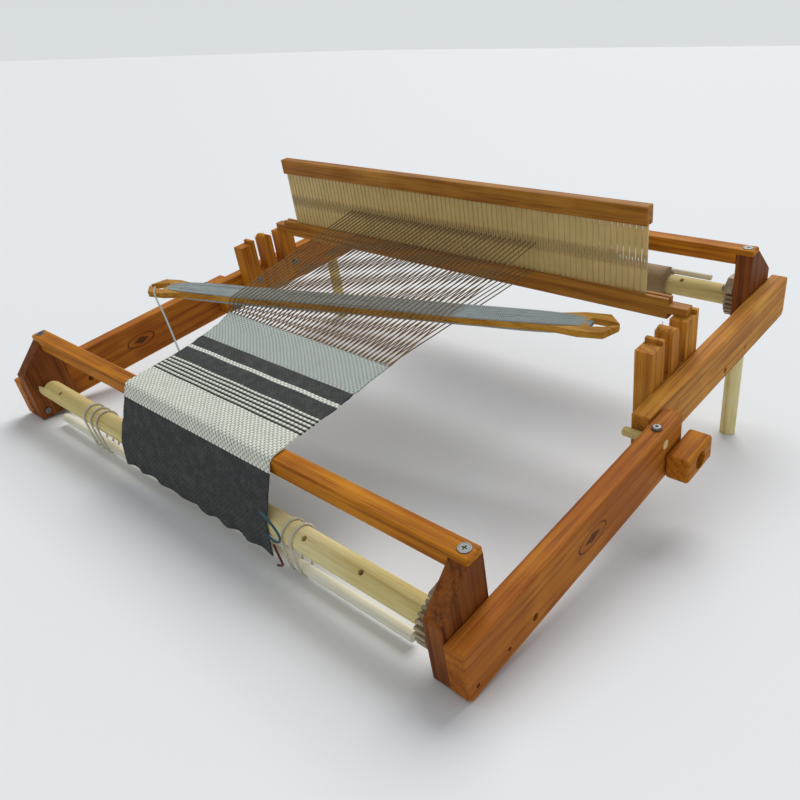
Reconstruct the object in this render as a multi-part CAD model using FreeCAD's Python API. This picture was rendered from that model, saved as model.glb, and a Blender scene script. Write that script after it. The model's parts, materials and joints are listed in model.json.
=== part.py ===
import FreeCAD, Part
import math
import os

os.makedirs("parts", exist_ok=True)
V = FreeCAD.Vector
X_AXIS = V(1, 0, 0)

# A rigid-heddle loom that folds at two carriage bolts. All sizes are millimetres.
# Each half is drawn on its own rail: X to the right, Y along the rail from its front
# end, Z square to the rail from its bottom edge. The rear half is then hung on the
# front one, and the whole loom is tipped until it stands on its front corner and legs.

# Driving sizes: the boards
WIDTH = 680.0
BOARD = 17.3
FOLD_GAP = 0.7
EASE = 1.6
FRONT_LEN = 308.2
FRONT_HIGH = 49.8
REAR_LEN = 317.0
REAR_HIGH = 45.8
CORNER = 4.0
RAIL_OVERLAP = 26.3
REAR_LIFT = 7.2
REAR_DROP_DEG = 1.26

# The fold: carriage bolts, knobs and stop pins
PIVOT_BACK = 9.1
PIVOT_HIGH = 13.6
BOLT_R = 3.2
BOLT_HEAD_R = 6.5
BOLT_HEAD_THICK = 2.6
KNOB_LONG = 46.8
KNOB_TALL = 24.5
KNOB_THICK = 21.3
KNOB_GAP = 0.5
KNOB_WELL_R = 8.5
NUT_FLATS = 11.1
NUT_THICK = 5.6
STOP_R = 4.4
STOP_HIGH = 36.3
STOP_GAP = 0.2
STOP_INBOARD = 22.2

# The cheeks and beams
FRONT_CHEEK_SETBACK = 1.5
FRONT_CHEEK_DEEP = 50.3
REAR_CHEEK_DEEP = 54.0
REAR_CHEEK_INSET = 10.1
CHEEK_TOP = 91.0
CHEEK_SHOULDER = 61.0
CHEEK_CREST = 17.0
BEAM = 17.3
BEAM_RISE = 5.6
BEAM_ROUND = 2.5

# The rollers and their gears
ROLLER_R = 11.1
GEAR_R = 20.9
GEAR_TEETH = 24
TOOTH_DEEP = 3.4
GEAR_THICK = 10.5
GEAR_GAP = 0.4
ROLLER_PIN_R = 1.6
FRONT_ROLLER_BACK = 22.4
FRONT_ROLLER_HIGH = 37.0
REAR_ROLLER_BACK = 278.7
REAR_ROLLER_HIGH = 30.5
TONGUE = 13.0
TONGUE_DROP = 1.75
CORD_HOLE_R = 2.5

# The pawls
PAWL_THICK = 9.0
PAWL_BACK = 25.1
PAWL_HIGH = 11.5
REAR_PAWL_BACK = 21.2
REAR_PAWL_HIGH = 18.0
PAWL_LIFT = 1.0
PAWL_CLEAR = 1.3

# The heddle and its blocks
BLOCK_START = 36.8
BLOCK_LONG = 90.8
BLOCK_LOW = 14.0
BLOCK_TOP = 85.5
RIDGE_TOP = 89.5
RIDGE_THICK = 4.5
SLOT_WIDE = 14.4
FINGER_FRONT = 23.0
FINGER_MIDDLE = 15.0
SLOT_FLOOR = 44.0
BAR_THICK = 11.5
LOW_BAR_TALL = 20.5
TOP_BAR_TALL = 18.5
SLAT_TALL = 68.0
SLAT_WIDE = 4.8
SLAT_THICK = 2.4
DENT = 6.35
DENTS = 80
EYE_TALL = 7.0
EYE_WIDE = 1.6
TENON_START = 6.4
BAR_SHORT = 4.2
TENON_RISE = 6.2
TENON_TALL = 8.1
REED_GROOVE = 3.0

# The legs
LEG_R = 8.0
LEG_LONG = 98.4
LEG_SOCKET = 25.0
LEG_BACK = 209.7

# The stand bolts
STAND_HOLE_R = 3.3
STAND_FRONT = (78.7, 11.8)
STAND_REAR = (161.6, 8.2)

# Screws
PAN_R = 3.9
PAN_HIGH = 2.2
SHANK_R = 1.9
CUP_R = 5.35
FIT = 0.05
CLEAR = 0.3

# The tie rods, the weaving and the warp
ROD_R = 4.75
REAR_ROD_R = 3.2
ROD_HALF = 275.0
FRONT_ROD = (17.8, 6.3)
CLOTH_THICK = 1.3
CLOTH_LEFT = -106.0
CLOTH_RIGHT = 128.0
FELL_LEFT = -126.0
FELL_BACK = 181.6
FELL_HIGH = 102.0
WARP_LEFT = -140.5
WARP_RIGHT = 134.2
WARP_THICK = 0.8
BUNDLE_R = 23.6
BUNDLE_LEFT = -138.0
BUNDLE_RIGHT = 132.0
PAPER_R = 21.0
PAPER_HALF = 204.0
PAPER_WALL = 0.8

# The shuttle
SHUTTLE_LONG = 557.0
SHUTTLE_WIDE = 35.0
SHUTTLE_THICK = 6.5
SHUTTLE_FROM = (-263.7, 168.6)
SHUTTLE_TURN_DEG = 16.1
SHUTTLE_LOW = 104.9
FORK_DEEP = 31.0
YARN_END = 44.0
YARN_THICK = 9.6

# Loose yarns and cords
CORD_R = 1.1
ARC_SHARE = 0.45
WEFT_THICK = 2.0
END_THICK = 2.0
WEFT_ROUTE = [
    (-244, 164, 115.8), (-236, 156, 115.8), (-217, 148, 111.8), (-190, 137.5, 106.4), (-160, 124.5, 102.8),
    (-132, 112, 99.9), (-108.5, 101.5, 98.6)]
TEAL_ROUTE = [
    (126, 10, 60), (134, 6.5, 66), (145, 4.5, 64), (152, 5, 54), (149, 6, 43), (140, 5.5, 38), (130, 6, 42)]
RED_ROUTE = [(131, 9, 28), (138, 6, 25), (143, 5, 17), (139, 6.5, 9.5), (132, 6, 7)]

# Where the boards stand across the loom
HEDDLE_LOW = BLOCK_TOP + CLEAR - TENON_RISE
HEDDLE_BACK = BLOCK_START + BLOCK_LONG - RIDGE_THICK - CLEAR - BAR_THICK / 2
RAIL_OUT = WIDTH / 2
RAIL_IN = RAIL_OUT - BOARD
CHEEK_IN = RAIL_IN - BOARD
REAR_OUT = RAIL_IN - FOLD_GAP
REAR_IN = REAR_OUT - BOARD
BLOCK_IN = REAR_IN - BOARD
PIVOT = (FRONT_LEN - PIVOT_BACK, PIVOT_HIGH)
REAR_START = FRONT_LEN - RAIL_OVERLAP
FOOT_LOW = -LEG_LONG


def rear_to_front(y, z):
    """A point of the rear half, carried to the front rail's own axes."""
    turn = math.radians(-REAR_DROP_DEG)
    along = y * math.cos(turn) - z * math.sin(turn)
    up = y * math.sin(turn) + z * math.cos(turn)
    return REAR_START + along, REAR_LIFT + up


def front_to_rear(y, z):
    """A point of the front half, carried to the rear rail's own axes."""
    turn = math.radians(REAR_DROP_DEG)
    along = y - REAR_START
    up = z - REAR_LIFT
    return along * math.cos(turn) - up * math.sin(turn), along * math.sin(turn) + up * math.cos(turn)


# The stand: front corner and the front edge of each foot touch the table together
FOOT = rear_to_front(LEG_BACK - LEG_R, FOOT_LOW)
TILT = math.atan2(-FOOT[1], FOOT[0] - CORNER)
FRONT_TOP = FRONT_HIGH - EASE
FORE = EASE * math.cos(TILT) - FRONT_TOP * math.sin(TILT) - EASE
TAIL = rear_to_front(REAR_LEN, CORNER)
AFT = TAIL[0] * math.cos(TILT) - TAIL[1] * math.sin(TILT)
MIDDLE = (FORE + AFT) / 2
STAND = FreeCAD.Placement(
    V(0, -MIDDLE, -CORNER * math.sin(TILT)), FreeCAD.Rotation(X_AXIS, math.degrees(TILT)))
HANG = FreeCAD.Placement(V(0, REAR_START, REAR_LIFT), FreeCAD.Rotation(X_AXIS, -REAR_DROP_DEG))


def point(y, z, x=0.0):
    """A point of the front half in the finished loom's frame."""
    return STAND.multVec(V(x, y, z))


def rear_point(y, z, x=0.0):
    """A point of the rear half in the finished loom's frame."""
    return STAND.multVec(HANG.multVec(V(x, y, z)))


def save(name, pieces, placement):
    """Places the solids of one named piece and writes them."""
    solids = []
    for piece in pieces:
        solids.extend(piece.Solids)
    shape = solids[0] if len(solids) == 1 else Part.makeCompound(solids)
    shape = shape.copy()
    shape.Placement = placement.multiply(shape.Placement)
    shape.exportStep("parts/" + name + ".step")


def save_front(name, *pieces):
    save(name, pieces, STAND)


def save_rear(name, *pieces):
    save(name, pieces, STAND.multiply(HANG))


def block(x0, x1, y0, y1, z0, z1):
    """A box between three pairs of planes."""
    return Part.makeBox(x1 - x0, y1 - y0, z1 - z0, V(x0, y0, z0))


def prism(outline, x0, x1):
    """An outline in Y and Z, carried from x0 to x1."""
    corners = [V(x0, y, z) for y, z in outline]
    return Part.Face(Part.makePolygon(corners + corners[:1])).extrude(V(x1 - x0, 0, 0))


def pin(y, z, radius, x0, x1):
    """A round bar across the loom."""
    return Part.makeCylinder(radius, x1 - x0, V(x0, y, z), X_AXIS)


def eased(shape, radius=EASE):
    """Sanded edges all over a board."""
    return shape.makeFillet(radius, shape.Edges)


def flip(shape):
    """The same piece for the other side of the loom."""
    return shape.mirror(V(0, 0, 0), X_AXIS)


def both(shape):
    return shape, flip(shape)


def screw(base, way, shank, radius=PAN_R, high=PAN_HIGH):
    """A pan head standing on a surface, with its shank going into the wood."""
    way = V(*way)
    head = Part.makeCylinder(radius, high, base, way)
    head = head.makeFillet(high * 0.6, head.Edges[0:1])
    slot = Part.makeCylinder(radius * 0.3, high * 0.5, base + way * (high * 0.6), way)
    return head.cut(slot).fuse(Part.makeCylinder(SHANK_R, shank, base, way * -1)).removeSplitter()


def drilled(board, base, way, depth, radius=SHANK_R + FIT):
    """A board with a round hole from a point on its surface."""
    way = V(*way)
    return board.cut(Part.makeCylinder(radius, depth + 1, base - way, way))


# Rails -----------------------------------------------------------------------
front_rail = eased(prism(
    [(CORNER, 0), (FRONT_LEN, 0), (FRONT_LEN, FRONT_HIGH), (0, FRONT_HIGH), (0, CORNER)],
    RAIL_IN, RAIL_OUT))
STOP_BACK = REAR_START - STOP_GAP - STOP_R
LOCK_X = (RAIL_IN + RAIL_OUT) / 2
front_rail = front_rail.cut(pin(*STAND_FRONT, STAND_HOLE_R, RAIL_IN - 1, RAIL_OUT + 1))
front_rail = front_rail.cut(pin(*PIVOT, BOLT_R + FIT, RAIL_IN - 1, RAIL_OUT + 1))
front_rail = front_rail.cut(pin(STOP_BACK, STOP_HIGH, STOP_R + FIT, RAIL_IN - 1, RAIL_OUT + 1))
LOCK_DEPTH = FRONT_HIGH - STOP_HIGH - STOP_R - CLEAR
front_rail = drilled(front_rail, V(LOCK_X, STOP_BACK, FRONT_HIGH), (0, 0, -1), LOCK_DEPTH)
FRONT_CHEEK_SCREWS = [(10.5, 10.1), (46.5, 10.1)]
SCREW_BITE = 12.0
for y, z in FRONT_CHEEK_SCREWS:
    front_rail = drilled(front_rail, V(RAIL_IN, y, z), (1, 0, 0), BOARD + 1)
save_front("front_rail_right", front_rail)
save_front("front_rail_left", flip(front_rail))

PIVOT_REAR = front_to_rear(*PIVOT)
BLOCK_SCREWS = [(54.0, 34.0), (121.0, 34.0)]
REAR_CHEEK_SCREWS = [(REAR_LEN - 48.5, 7.5), (REAR_LEN - 15.5, 8.0)]
LEG_TOP = LEG_SOCKET
LEG_SCREW_HIGH = 11.0
rear_rail = eased(prism(
    [(0, 0), (REAR_LEN - CORNER, 0), (REAR_LEN, CORNER), (REAR_LEN, REAR_HIGH), (0, REAR_HIGH)],
    REAR_IN, REAR_OUT))
rear_rail = rear_rail.cut(pin(*PIVOT_REAR, BOLT_R + FIT, REAR_IN - 1, REAR_OUT + 1))
rear_rail = rear_rail.cut(pin(*STAND_REAR, STAND_HOLE_R, REAR_IN - 1, REAR_OUT + 1))
LEG_X = (REAR_IN + REAR_OUT) / 2
rear_rail = rear_rail.cut(Part.makeCylinder(LEG_R + FIT, LEG_TOP + 2, V(LEG_X, LEG_BACK, -2)))
rear_rail = drilled(rear_rail, V(REAR_IN, LEG_BACK, LEG_SCREW_HIGH), (1, 0, 0), BOARD)
for y, z in BLOCK_SCREWS + REAR_CHEEK_SCREWS:
    rear_rail = drilled(rear_rail, V(REAR_IN, y, z), (1, 0, 0), SCREW_BITE + 1)
save_rear("rear_rail_right", rear_rail)
save_rear("rear_rail_left", flip(rear_rail))

# Fold bolts, knobs and stop pins ----------------------------------------------
HEAD_X = REAR_IN - CLEAR
KNOB_X = RAIL_OUT + KNOB_GAP
NUT_X = KNOB_X + KNOB_THICK - NUT_THICK - 5.0
BOLT_END = NUT_X + NUT_THICK + 1.5
bolt_head = Part.makeCylinder(BOLT_HEAD_R, BOLT_HEAD_THICK, V(HEAD_X, *PIVOT), V(-1, 0, 0))
bolt_head = bolt_head.makeFillet(BOLT_HEAD_THICK * 0.8, bolt_head.Edges[0:1])
bolt = bolt_head.fuse(pin(*PIVOT, BOLT_R, HEAD_X, BOLT_END)).removeSplitter()
save_front("pivot_bolts", *both(bolt))

knob = block(
    KNOB_X, KNOB_X + KNOB_THICK, PIVOT[0] - KNOB_LONG / 2, PIVOT[0] + KNOB_LONG / 2,
    PIVOT[1] - KNOB_TALL / 2, PIVOT[1] + KNOB_TALL / 2)
knob = eased(knob, 2 * EASE)
knob = knob.cut(pin(*PIVOT, BOLT_R + FIT, KNOB_X - 1, KNOB_X + KNOB_THICK))
knob = knob.cut(pin(*PIVOT, KNOB_WELL_R, NUT_X, KNOB_X + KNOB_THICK + 1))
save_front("knob_right", knob)
save_front("knob_left", flip(knob))

nut_corner = NUT_FLATS / math.sqrt(3)
hexagon = []
for k in range(6):
    turn = math.radians(60 * k + 12)
    hexagon.append((PIVOT[0] + nut_corner * math.cos(turn), PIVOT[1] + nut_corner * math.sin(turn)))
nut = prism(hexagon, NUT_X, NUT_X + NUT_THICK).cut(
    pin(*PIVOT, BOLT_R + FIT, NUT_X - 1, NUT_X + NUT_THICK + 1))
save_front("knob_nut_right", nut)
save_front("knob_nut_left", flip(nut))

stop = pin(STOP_BACK, STOP_HIGH, STOP_R, RAIL_IN - STOP_INBOARD, RAIL_OUT)
stop = stop.makeFillet(1.5, [e for e in stop.Edges if e.BoundBox.XMax < RAIL_IN - STOP_INBOARD + 0.1])
save_front("stop_pins", *both(stop))
lock = screw(V(LOCK_X, STOP_BACK, FRONT_HIGH), (0, 0, 1), LOCK_DEPTH, 4.5, 2.6)
save_front("stop_pin_lock_screws", *both(lock))

# Cheeks, beams and their screws -------------------------------------------------
front_back = FRONT_CHEEK_SETBACK + FRONT_CHEEK_DEEP
front_cheek = eased(prism(
    [(FRONT_CHEEK_SETBACK, 0.7), (front_back, 0.7), (front_back, CHEEK_TOP),
     (front_back - CHEEK_CREST, CHEEK_TOP), (FRONT_CHEEK_SETBACK, CHEEK_SHOULDER)],
    CHEEK_IN, RAIL_IN))
ROLLER_PIN_BITE = 13.0
front_cheek = drilled(
    front_cheek, V(CHEEK_IN, FRONT_ROLLER_BACK, FRONT_ROLLER_HIGH), (1, 0, 0), ROLLER_PIN_BITE + 1,
    ROLLER_PIN_R + FIT)
for y, z in FRONT_CHEEK_SCREWS:
    front_cheek = drilled(front_cheek, V(CHEEK_IN, y, z), (1, 0, 0), BOARD)
FRONT_BEAM_BACK = front_back - BEAM / 2
BEAM_SCREW_BITE = 14.0
front_cheek = drilled(
    front_cheek, V((CHEEK_IN + RAIL_IN) / 2, FRONT_BEAM_BACK, CHEEK_TOP), (0, 0, -1), BEAM_SCREW_BITE + 1)
save_front("front_cheek_left", flip(front_cheek))
PAWL_X = CHEEK_IN - GEAR_GAP - PAWL_THICK
FRONT_PAWL = (FRONT_ROLLER_BACK + PAWL_BACK, FRONT_ROLLER_HIGH + PAWL_HIGH)
front_cheek = drilled(front_cheek, V(CHEEK_IN, *FRONT_PAWL), (1, 0, 0), SCREW_BITE + 1)
save_front("front_cheek_right", front_cheek)
cheek_screws = []
for y, z in FRONT_CHEEK_SCREWS:
    cheek_screws.extend(both(screw(V(CHEEK_IN, y, z), (-1, 0, 0), BOARD + SCREW_BITE)))
save_front("front_cheek_screws", *cheek_screws)


def beam(half, cheek_in, middle):
    """A square beam whose ends are notched to lie over the cheeks."""
    top = CHEEK_TOP + BEAM_RISE
    bar = block(-half, half, middle - BEAM / 2, middle + BEAM / 2, top - BEAM, top)
    bar = eased(bar, BEAM_ROUND)
    for side in (-1, 1):
        notch_in = cheek_in - FIT if side > 0 else -half - 1
        notch_out = half + 1 if side > 0 else -cheek_in + FIT
        bar = bar.cut(block(notch_in, notch_out, middle - BEAM, middle + BEAM, top - BEAM - 1, CHEEK_TOP + FIT))
    for side in (-1, 1):
        seat = V(side * (cheek_in + BOARD / 2), middle, top)
        bar = drilled(bar, seat, (0, 0, -1), BEAM)
        bar = bar.cut(Part.makeCylinder(CUP_R + FIT, 1.2, seat - V(0, 0, 1.0)))
    return bar


def beam_screw(x, middle):
    """A countersunk screw in a cup washer, let into the top of a beam."""
    top = CHEEK_TOP + BEAM_RISE
    cup = Part.makeCylinder(CUP_R, 1.6, V(x, middle, top - 1.0))
    cup = cup.makeFillet(0.5, [e for e in cup.Edges if e.BoundBox.ZMin > top])
    dish = Part.makeCone(SHANK_R + FIT, 4.4, 1.4, V(x, middle, top - 0.7))
    head = Part.makeCone(SHANK_R, 4.2, 1.2, V(x, middle, top - 0.7))
    slot = block(x - 2.2, x + 2.2, middle - 0.5, middle + 0.5, top - 0.5, top + 1)
    slot = slot.fuse(block(x - 0.5, x + 0.5, middle - 2.2, middle + 2.2, top - 0.5, top + 1))
    shank = Part.makeCylinder(SHANK_R, BEAM_SCREW_BITE + BEAM_RISE - 0.7, V(x, middle, CHEEK_TOP - BEAM_SCREW_BITE))
    hole = Part.makeCylinder(SHANK_R + FIT, 3, V(x, middle, top - 2.5))
    return cup.cut(dish).cut(hole), head.cut(slot).fuse(shank).removeSplitter()


save_front("front_beam", beam(RAIL_IN, CHEEK_IN, FRONT_BEAM_BACK))
cup, head = beam_screw(CHEEK_IN + BOARD / 2, FRONT_BEAM_BACK)
save_front("front_beam_screws", *both(cup), *both(head))

rear_cheek_back = REAR_LEN - REAR_CHEEK_INSET
rear_cheek_front = rear_cheek_back - REAR_CHEEK_DEEP
rear_cheek = eased(prism(
    [(rear_cheek_front, 0.7), (rear_cheek_back, 0.7), (rear_cheek_back, CHEEK_SHOULDER - 3),
     (rear_cheek_front + CHEEK_CREST + 2, CHEEK_TOP), (rear_cheek_front, CHEEK_TOP)], BLOCK_IN, REAR_IN))
rear_cheek = drilled(
    rear_cheek, V(BLOCK_IN, REAR_ROLLER_BACK, REAR_ROLLER_HIGH), (1, 0, 0), ROLLER_PIN_BITE + 1,
    ROLLER_PIN_R + FIT)
for y, z in REAR_CHEEK_SCREWS:
    rear_cheek = drilled(rear_cheek, V(BLOCK_IN, y, z), (1, 0, 0), BOARD)
REAR_BEAM_BACK = rear_cheek_front + BEAM / 2
rear_cheek = drilled(
    rear_cheek, V((BLOCK_IN + REAR_IN) / 2, REAR_BEAM_BACK, CHEEK_TOP), (0, 0, -1), BEAM_SCREW_BITE + 1)
save_rear("rear_cheek_left", flip(rear_cheek))
REAR_PAWL = (REAR_ROLLER_BACK - REAR_PAWL_BACK, REAR_ROLLER_HIGH + REAR_PAWL_HIGH)
rear_cheek = drilled(rear_cheek, V(BLOCK_IN, *REAR_PAWL), (1, 0, 0), SCREW_BITE + 1)
save_rear("rear_cheek_right", rear_cheek)
cheek_screws = []
for y, z in REAR_CHEEK_SCREWS:
    cheek_screws.extend(both(screw(V(BLOCK_IN, y, z), (-1, 0, 0), BOARD + SCREW_BITE)))
save_rear("rear_cheek_screws", *cheek_screws)
save_rear("rear_beam", beam(REAR_IN, BLOCK_IN, REAR_BEAM_BACK))
cup, head = beam_screw(BLOCK_IN + BOARD / 2, REAR_BEAM_BACK)
save_rear("rear_beam_screws", *both(cup), *both(head))

# Heddle blocks -------------------------------------------------------------------
BLOCK_END = BLOCK_START + BLOCK_LONG
SLOT_ONE = BLOCK_START + FINGER_FRONT
SLOT_TWO = SLOT_ONE + SLOT_WIDE + FINGER_MIDDLE
FINGER_BACK = SLOT_TWO + SLOT_WIDE
block_board = block(BLOCK_IN, REAR_IN, BLOCK_START, BLOCK_END, BLOCK_LOW, RIDGE_TOP)
for slot_start in (SLOT_ONE, SLOT_TWO):
    groove = block(
        BLOCK_IN - 1, REAR_IN + 1, slot_start, slot_start + SLOT_WIDE, SLOT_FLOOR, RIDGE_TOP + 9)
    block_board = block_board.cut(eased(groove, EASE))
for finger, wide in ((BLOCK_START, FINGER_FRONT), (FINGER_BACK, BLOCK_END - FINGER_BACK)):
    shelf = block(
        BLOCK_IN - 1, REAR_IN + 1, finger - 1, finger + wide - RIDGE_THICK, BLOCK_TOP, RIDGE_TOP + 1)
    block_board = block_board.cut(shelf)
crown = SLOT_ONE + SLOT_WIDE + FINGER_MIDDLE / 2
crown_cut = block(
    BLOCK_IN - 1, REAR_IN + 1, crown - FINGER_MIDDLE / 2, crown + FINGER_MIDDLE / 2,
    RIDGE_TOP - FINGER_MIDDLE / 2, RIDGE_TOP + 1)
crown_cut = crown_cut.cut(pin(crown, RIDGE_TOP - FINGER_MIDDLE / 2, FINGER_MIDDLE / 2, BLOCK_IN - 1, REAR_IN + 1))
block_board = block_board.cut(crown_cut)
for y, z in BLOCK_SCREWS:
    block_board = drilled(block_board, V(BLOCK_IN, y, z), (1, 0, 0), BOARD)
save_rear("heddle_block_right", block_board)
save_rear("heddle_block_left", flip(block_board))
block_screws = []
for y, z in BLOCK_SCREWS:
    block_screws.extend(both(screw(V(BLOCK_IN, y, z), (-1, 0, 0), BOARD + SCREW_BITE, 4.6, 2.0)))
save_rear("heddle_block_screws", *block_screws)

# Legs ------------------------------------------------------------------------------
leg = Part.makeCylinder(LEG_R, LEG_LONG + LEG_SOCKET, V(LEG_X, LEG_BACK, FOOT_LOW))
leg = leg.makeChamfer(0.6, [e for e in leg.Edges if e.BoundBox.ZMin > 0])
leg = drilled(leg, V(REAR_IN, LEG_BACK, LEG_SCREW_HIGH), (1, 0, 0), BOARD)
save_rear("leg_right", leg)
save_rear("leg_left", flip(leg))
save_rear("leg_screws", *both(screw(V(REAR_IN, LEG_BACK, LEG_SCREW_HIGH), (-1, 0, 0), BOARD - 1)))

# Rollers, gears and pawls ------------------------------------------------------------
def gear(y, z, x0, phase):
    """A toothed disc: straight-sided teeth with a flat top."""
    outline = []
    for k in range(GEAR_TEETH):
        for share, radius in ((0.0, GEAR_R - TOOTH_DEEP), (0.22, GEAR_R - TOOTH_DEEP), (0.4, GEAR_R), (0.82, GEAR_R)):
            turn = 2 * math.pi * (k + share + phase) / GEAR_TEETH
            outline.append((y + radius * math.cos(turn), z + radius * math.sin(turn)))
    disc = prism(outline, x0, x0 + GEAR_THICK)
    return disc.cut(pin(y, z, ROLLER_PIN_R + FIT, x0 - 1, x0 + GEAR_THICK + 1))


def roller(y, z, x0, x1, holes):
    """A dowel with a half-lapped left end, pin holes and cord holes."""
    bar = pin(y, z, ROLLER_R, x0, x1)
    lap = block(x0 - 1, x0 + TONGUE, -2 * ROLLER_R, 2 * ROLLER_R, -TONGUE_DROP, 2 * ROLLER_R)
    lap.rotate(V(0, 0, 0), X_AXIS, -45)
    lap.translate(V(0, y, z))
    bar = bar.cut(lap).cut(pin(y, z, ROLLER_PIN_R + FIT, x0 - 1, x0 + TONGUE + ROLLER_PIN_BITE))
    bar = bar.cut(pin(y, z, ROLLER_PIN_R + FIT, x1 - ROLLER_PIN_BITE, x1 + 1))
    for x in holes:
        way = V(0, -0.45, 0.893)
        bar = bar.cut(Part.makeCylinder(CORD_HOLE_R, 4 * ROLLER_R, V(x, y, z) - way * 2 * ROLLER_R, way))
    return bar


def roller_pins(y, z, inner, x0, x1):
    """A steel pin at each end, from the cheek into the roller."""
    left = pin(y, z, ROLLER_PIN_R, -inner - ROLLER_PIN_BITE, x0 + TONGUE + ROLLER_PIN_BITE - 1)
    right = pin(y, z, ROLLER_PIN_R, x1 - ROLLER_PIN_BITE + 1, inner + ROLLER_PIN_BITE)
    return left, right


def pawl(axis, hinge, x0, way):
    """A curved catch round the top of its gear, from its pivot to a beak between two teeth."""
    out, high = (hinge[0] - axis[0]) * -way, hinge[1] - axis[1]
    start = math.atan2(high, out)
    reach = math.hypot(out, high)
    inner = GEAR_R + PAWL_CLEAR
    outline = [(start - math.radians(10), inner + 1.8)]
    for k in range(6):
        outline.append((start + (math.radians(79) - start) * k / 5, inner))
    outline = [(r * math.cos(turn), r * math.sin(turn)) for turn, r in outline]
    side, tip = BEAK_BACK * -way, BEAK_HIGH
    outline += [(side + 1.4, tip + 3.1), (side + 0.4, tip), (side - 0.4, tip), (side - 1.4, tip + 3.1)]
    outline += [(side - 2.6, tip + 5.4), (side - 1.0, tip + 8.0)]
    upper = [(math.radians(72), reach + 2.0), (start + math.radians(20), reach + 4.6), (start, reach + 5.0)]
    upper.append((start - math.radians(9), reach + 3.6))
    outline += [(r * math.cos(turn), r * math.sin(turn)) for turn, r in upper]
    outline = [(axis[0] - a * way, axis[1] + b) for a, b in outline]
    body = prism(outline, x0, x0 + PAWL_THICK)
    return body.cut(pin(*hinge, SHANK_R + FIT, x0 - 1, x0 + PAWL_THICK + 1))


FRONT_GEAR_X = CHEEK_IN - GEAR_GAP - GEAR_THICK
FRONT_ROLLER = (FRONT_ROLLER_BACK, FRONT_ROLLER_HIGH)
front_ends = (-CHEEK_IN + GEAR_GAP, FRONT_GEAR_X)
save_front("cloth_roller", roller(*FRONT_ROLLER, *front_ends, (-255.0, 166.0, 230.0)))
save_front("cloth_gear", gear(*FRONT_ROLLER, FRONT_GEAR_X, 0.0))
save_front("cloth_roller_pins", *roller_pins(*FRONT_ROLLER, CHEEK_IN, front_ends[0], front_ends[1]))

REAR_GEAR_X = BLOCK_IN - GEAR_GAP - GEAR_THICK
REAR_ROLLER = (REAR_ROLLER_BACK, REAR_ROLLER_HIGH)
rear_ends = (-BLOCK_IN + GEAR_GAP, REAR_GEAR_X)
save_rear("warp_roller", roller(*REAR_ROLLER, *rear_ends, (-236.0, 222.0)))
save_rear("warp_gear", gear(*REAR_ROLLER, REAR_GEAR_X, 0.0))
save_rear("warp_roller_pins", *roller_pins(*REAR_ROLLER, BLOCK_IN, rear_ends[0], rear_ends[1]))

# Each pawl's beak stands in the gap at the top of its gear.
GAP_TURN = 2 * math.pi * (6 + 0.11) / GEAR_TEETH
BEAK_HIGH = (GEAR_R - TOOTH_DEEP + PAWL_LIFT) * math.sin(GAP_TURN)
BEAK_BACK = (GEAR_R - TOOTH_DEEP + PAWL_LIFT) * math.cos(GAP_TURN)
save_front("cloth_pawl", pawl(FRONT_ROLLER, FRONT_PAWL, PAWL_X, -1))
save_front("cloth_pawl_screw", screw(V(PAWL_X - CLEAR, *FRONT_PAWL), (-1, 0, 0), PAWL_THICK + SCREW_BITE))
REAR_PAWL_X = BLOCK_IN - GEAR_GAP - PAWL_THICK
save_rear("warp_pawl", pawl(REAR_ROLLER, REAR_PAWL, REAR_PAWL_X, 1))
save_rear("warp_pawl_screw", screw(V(REAR_PAWL_X - CLEAR, *REAR_PAWL), (-1, 0, 0), PAWL_THICK + SCREW_BITE))

# The warp on its roller: kraft paper wound with it, yarn over it, and the rear tie rod
save_rear("warp_paper", pin(*REAR_ROLLER, PAPER_R, -PAPER_HALF, PAPER_HALF).cut(
    pin(*REAR_ROLLER, PAPER_R - PAPER_WALL, -PAPER_HALF - 1, PAPER_HALF + 1)))
save_rear("warp_bundle", pin(*REAR_ROLLER, BUNDLE_R, BUNDLE_LEFT, BUNDLE_RIGHT).cut(
    pin(*REAR_ROLLER, PAPER_R + FIT, BUNDLE_LEFT - 1, BUNDLE_RIGHT + 1)))
REAR_ROD = (REAR_ROLLER_BACK + 9.0, REAR_ROLLER_HIGH + 12.5)
save_rear("rear_tie_rod", pin(*REAR_ROD, REAR_ROD_R, -255.0, 250.0))
save_front("front_tie_rod", pin(*FRONT_ROD, ROD_R, -ROD_HALF, ROD_HALF))


def belt(x, first, first_r, last, last_r):
    """A ring of cord, drawn tight round two bars of different size."""
    way = V(0, last[0] - first[0], last[1] - first[1])
    gap = way.Length
    way.normalize()
    side = V(0, -way.z, way.y)
    lean = math.asin((first_r - last_r) / gap)
    near, far = V(x, *first), V(x, *last)
    up = way * math.sin(lean) + side * math.cos(lean)
    down = way * math.sin(lean) - side * math.cos(lean)
    path = Part.Wire([
        Part.LineSegment(near + up * first_r, far + up * last_r).toShape(),
        Part.Arc(far + up * last_r, far + way * last_r, far + down * last_r).toShape(),
        Part.LineSegment(far + down * last_r, near + down * first_r).toShape(),
        Part.Arc(near + down * first_r, near - way * first_r, near + up * first_r).toShape()])
    ring = Part.Wire(Part.makeCircle(CORD_R, near + up * first_r, far + up * last_r - near - up * first_r))
    return path.makePipeShell([ring], True, False)


# Cords run from the cloth roller down round the tie rod.
def tie_cord(x):
    lift = CLEAR + CORD_R
    return belt(x, FRONT_ROLLER, ROLLER_R + lift, FRONT_ROD, ROD_R + lift)


save_front("tie_cord_left", tie_cord(-190.0), tie_cord(-176.0), tie_cord(-164.0))
save_front("tie_cord_right", tie_cord(143.0), tie_cord(155.0))

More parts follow.
